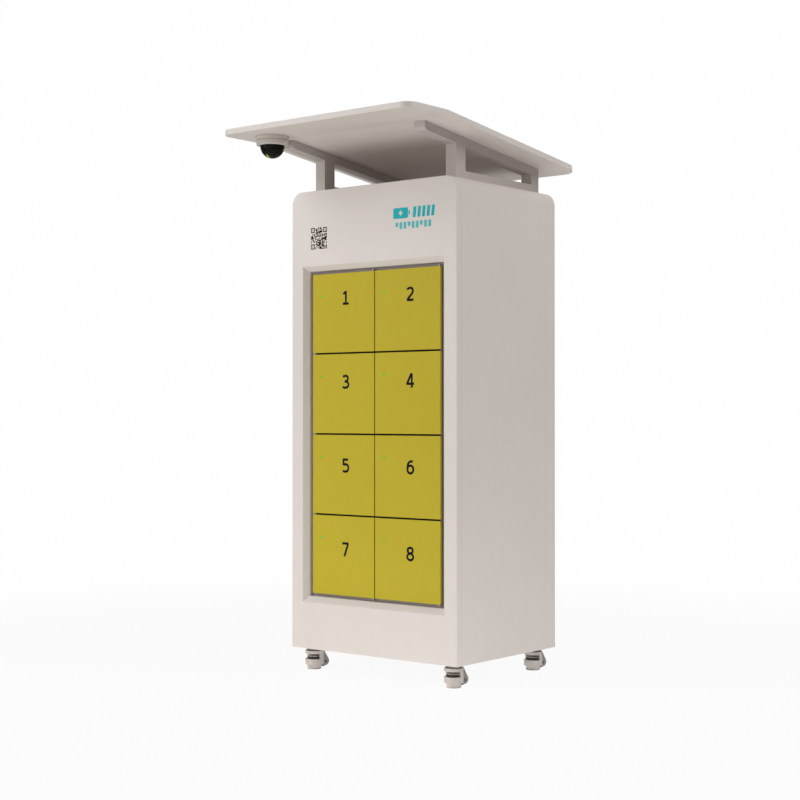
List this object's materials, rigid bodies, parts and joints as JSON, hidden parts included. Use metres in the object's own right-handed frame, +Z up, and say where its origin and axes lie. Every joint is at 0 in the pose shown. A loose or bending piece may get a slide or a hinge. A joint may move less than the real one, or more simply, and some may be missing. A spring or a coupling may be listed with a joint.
{
  "type": "battery exchange locker",
  "caption": "Outdoor charging locker: sheet-metal cabinet with numbered hinged compartment doors, a canopy on tube brackets, a dome camera and levelling castors.",
  "frame": {"origin": "on the floor under the centre of the canopy's footprint", "axes": "+Z up; the doors face -Y; +X is to the right of a person facing the doors"},
  "size_m": [0.851, 0.995, 1.926],
  "materials": {
    "cabinet_paint": "fine-textured powder coat, light warm grey",
    "door_paint": "satin powder coat, mustard yellow",
    "grey_frame_paint": "satin grey powder coat",
    "galvanised_sheet": "galvanised sheet",
    "dark_moulding": "black glass-filled moulding",
    "unit_casing": "anodised casing",
    "camera_shell": "light grey polycarbonate",
    "smoked_dome": "smoked polycarbonate, polished",
    "camera_internals": "black plastic",
    "handle_black": "black coated die casting",
    "led_green": "clear green lens",
    "lock_casing": "black coated steel",
    "castor_steel": "zinc-plated steel",
    "castor_casting": "painted die casting",
    "castor_tread": "nylon",
    "thumbwheel_nylon": "black ribbed nylon",
    "foot_pad": "grey rubber-faced pad on a screw stem"
  },
  "bodies": {
    "cabinet": {"cabinet_shell": "cabinet_paint", "front_panel": "cabinet_paint", "base_tray": "galvanised_sheet", "door_frame": "grey_frame_paint", "compartment_rack": "galvanised_sheet", "connector_backplane": "dark_moulding", "charger_control_unit": "unit_casing", "roof_panel": "cabinet_paint", "roof_bracket_left": "cabinet_paint", "roof_bracket_right": "cabinet_paint", "camera_base": "camera_shell", "camera_cover_ring": "camera_shell", "camera_dome": "smoked_dome", "lock_1": "lock_casing", "lock_2": "lock_casing", "lock_3": "lock_casing", "lock_4": "lock_casing", "lock_5": "lock_casing", "lock_6": "lock_casing", "lock_7": "lock_casing", "lock_8": "lock_casing", "castor_head_front_left": "castor_steel", "castor_head_front_right": "castor_steel", "castor_head_rear_left": "castor_steel", "castor_head_rear_right": "castor_steel"},
    "door_1": {"door_1": "door_paint", "status_led_1": "led_green"},
    "door_2": {"door_2": "door_paint", "status_led_2": "led_green"},
    "door_3": {"door_3": "door_paint", "status_led_3": "led_green"},
    "door_4": {"door_4": "door_paint", "status_led_4": "led_green"},
    "door_5": {"door_5": "door_paint", "status_led_5": "led_green"},
    "door_6": {"door_6": "door_paint", "status_led_6": "led_green"},
    "door_7": {"door_7": "door_paint", "status_led_7": "led_green"},
    "door_8": {"door_8": "door_paint", "status_led_8": "led_green"},
    "rear_door": {"rear_door": "cabinet_paint"},
    "rear_door_handle": {"rear_door_handle": "handle_black"},
    "camera_module": {"camera_module": "camera_internals"},
    "castor_housing_front_left": {"castor_housing_front_left": "castor_casting"},
    "castor_wheel_front_left": {"castor_wheel_front_left": "castor_tread"},
    "castor_thumbwheel_front_left": {"castor_thumbwheel_front_left": "thumbwheel_nylon"},
    "castor_foot_front_left": {"castor_foot_front_left": "foot_pad"},
    "castor_housing_front_right": {"castor_housing_front_right": "castor_casting"},
    "castor_wheel_front_right": {"castor_wheel_front_right": "castor_tread"},
    "castor_thumbwheel_front_right": {"castor_thumbwheel_front_right": "thumbwheel_nylon"},
    "castor_foot_front_right": {"castor_foot_front_right": "foot_pad"},
    "castor_housing_rear_left": {"castor_housing_rear_left": "castor_casting"},
    "castor_wheel_rear_left": {"castor_wheel_rear_left": "castor_tread"},
    "castor_thumbwheel_rear_left": {"castor_thumbwheel_rear_left": "thumbwheel_nylon"},
    "castor_foot_rear_left": {"castor_foot_rear_left": "foot_pad"},
    "castor_housing_rear_right": {"castor_housing_rear_right": "castor_casting"},
    "castor_wheel_rear_right": {"castor_wheel_rear_right": "castor_tread"},
    "castor_thumbwheel_rear_right": {"castor_thumbwheel_rear_right": "thumbwheel_nylon"},
    "castor_foot_rear_right": {"castor_foot_rear_right": "foot_pad"}
  },
  "joints": [
    {"name": "door_1_hinge", "type": "hinge", "parent": "cabinet", "child": "door_1", "pos_m": [-0.0085, -0.155, 1.28969], "axis": [0, 0, 1], "range_deg": [0, 100]},
    {"name": "door_2_hinge", "type": "hinge", "parent": "cabinet", "child": "door_2", "pos_m": [0.284, -0.155, 1.28969], "axis": [0, 0, 1], "range_deg": [0, 100]},
    {"name": "door_3_hinge", "type": "hinge", "parent": "cabinet", "child": "door_3", "pos_m": [-0.0085, -0.155, 1.00056], "axis": [0, 0, 1], "range_deg": [0, 100]},
    {"name": "door_4_hinge", "type": "hinge", "parent": "cabinet", "child": "door_4", "pos_m": [0.284, -0.155, 1.00056], "axis": [0, 0, 1], "range_deg": [0, 100]},
    {"name": "door_5_hinge", "type": "hinge", "parent": "cabinet", "child": "door_5", "pos_m": [-0.0085, -0.155, 0.71144], "axis": [0, 0, 1], "range_deg": [0, 100]},
    {"name": "door_6_hinge", "type": "hinge", "parent": "cabinet", "child": "door_6", "pos_m": [0.284, -0.155, 0.71144], "axis": [0, 0, 1], "range_deg": [0, 100]},
    {"name": "door_7_hinge", "type": "hinge", "parent": "cabinet", "child": "door_7", "pos_m": [-0.0085, -0.155, 0.42231], "axis": [0, 0, 1], "range_deg": [0, 100]},
    {"name": "door_8_hinge", "type": "hinge", "parent": "cabinet", "child": "door_8", "pos_m": [0.284, -0.155, 0.42231], "axis": [0, 0, 1], "range_deg": [0, 100]},
    {"name": "rear_door_hinge", "type": "hinge", "parent": "cabinet", "child": "rear_door", "pos_m": [0.335, 0.425, 0.895], "axis": [0, 0, -1], "range_deg": [0, 110]},
    {"name": "rear_handle_turn", "type": "hinge", "parent": "rear_door", "child": "rear_door_handle", "pos_m": [-0.31, 0.4365, 0.9], "axis": [0, -1, 0], "range_deg": [0, 90]},
    {"name": "camera_pan", "type": "hinge", "parent": "cabinet", "child": "camera_module", "pos_m": [-0.2935, -0.371, 1.88], "axis": [0, 0, 1], "range_deg": [-170, 170]},
    {"name": "castor_swivel_front_left", "type": "hinge", "parent": "cabinet", "child": "castor_housing_front_left", "pos_m": [-0.318, -0.1215, 0.06], "axis": [0, 0, 1], "continuous": true},
    {"name": "castor_wheel_spin_front_left", "type": "hinge", "parent": "castor_housing_front_left", "child": "castor_wheel_front_left", "pos_m": [-0.318, -0.077, 0.021], "axis": [1, 0, 0], "continuous": true},
    {"name": "castor_foot_lift_front_left", "type": "slide", "parent": "castor_housing_front_left", "child": "castor_foot_front_left", "axis": [0, 0, 1], "range_m": [0, 0.01]},
    {"name": "castor_thumbwheel_turn_front_left", "type": "hinge", "parent": "castor_housing_front_left", "child": "castor_thumbwheel_front_left", "pos_m": [-0.318, -0.1215, 0.043], "axis": [0, 0, 1], "range_deg": [-10, 1810]},
    {"name": "castor_swivel_front_right", "type": "hinge", "parent": "cabinet", "child": "castor_housing_front_right", "pos_m": [0.318, -0.1215, 0.06], "axis": [0, 0, 1], "continuous": true},
    {"name": "castor_wheel_spin_front_right", "type": "hinge", "parent": "castor_housing_front_right", "child": "castor_wheel_front_right", "pos_m": [0.318, -0.077, 0.021], "axis": [1, 0, 0], "continuous": true},
    {"name": "castor_foot_lift_front_right", "type": "slide", "parent": "castor_housing_front_right", "child": "castor_foot_front_right", "axis": [0, 0, 1], "range_m": [0, 0.01]},
    {"name": "castor_thumbwheel_turn_front_right", "type": "hinge", "parent": "castor_housing_front_right", "child": "castor_thumbwheel_front_right", "pos_m": [0.318, -0.1215, 0.043], "axis": [0, 0, 1], "range_deg": [-10, 1810]},
    {"name": "castor_swivel_rear_left", "type": "hinge", "parent": "cabinet", "child": "castor_housing_rear_left", "pos_m": [-0.318, 0.3575, 0.06], "axis": [0, 0, 1], "continuous": true},
    {"name": "castor_wheel_spin_rear_left", "type": "hinge", "parent": "castor_housing_rear_left", "child": "castor_wheel_rear_left", "pos_m": [-0.318, 0.402, 0.021], "axis": [1, 0, 0], "continuous": true},
    {"name": "castor_foot_lift_rear_left", "type": "slide", "parent": "castor_housing_rear_left", "child": "castor_foot_rear_left", "axis": [0, 0, 1], "range_m": [0, 0.01]},
    {"name": "castor_thumbwheel_turn_rear_left", "type": "hinge", "parent": "castor_housing_rear_left", "child": "castor_thumbwheel_rear_left", "pos_m": [-0.318, 0.3575, 0.043], "axis": [0, 0, 1], "range_deg": [-10, 1810]},
    {"name": "castor_swivel_rear_right", "type": "hinge", "parent": "cabinet", "child": "castor_housing_rear_right", "pos_m": [0.318, 0.3575, 0.06], "axis": [0, 0, 1], "continuous": true},
    {"name": "castor_wheel_spin_rear_right", "type": "hinge", "parent": "castor_housing_rear_right", "child": "castor_wheel_rear_right", "pos_m": [0.318, 0.402, 0.021], "axis": [1, 0, 0], "continuous": true},
    {"name": "castor_foot_lift_rear_right", "type": "slide", "parent": "castor_housing_rear_right", "child": "castor_foot_rear_right", "axis": [0, 0, 1], "range_m": [0, 0.01]},
    {"name": "castor_thumbwheel_turn_rear_right", "type": "hinge", "parent": "castor_housing_rear_right", "child": "castor_thumbwheel_rear_right", "pos_m": [0.318, 0.3575, 0.043], "axis": [0, 0, 1], "range_deg": [-10, 1810]}
  ],
  "couplings": [
    {"joint": "castor_thumbwheel_turn_front_left", "follows": "castor_foot_lift_front_left", "rad_per_m": 3141.6},
    {"joint": "castor_thumbwheel_turn_front_right", "follows": "castor_foot_lift_front_right", "rad_per_m": 3141.6},
    {"joint": "castor_thumbwheel_turn_rear_left", "follows": "castor_foot_lift_rear_left", "rad_per_m": 3141.6},
    {"joint": "castor_thumbwheel_turn_rear_right", "follows": "castor_foot_lift_rear_right", "rad_per_m": 3141.6}
  ]
}
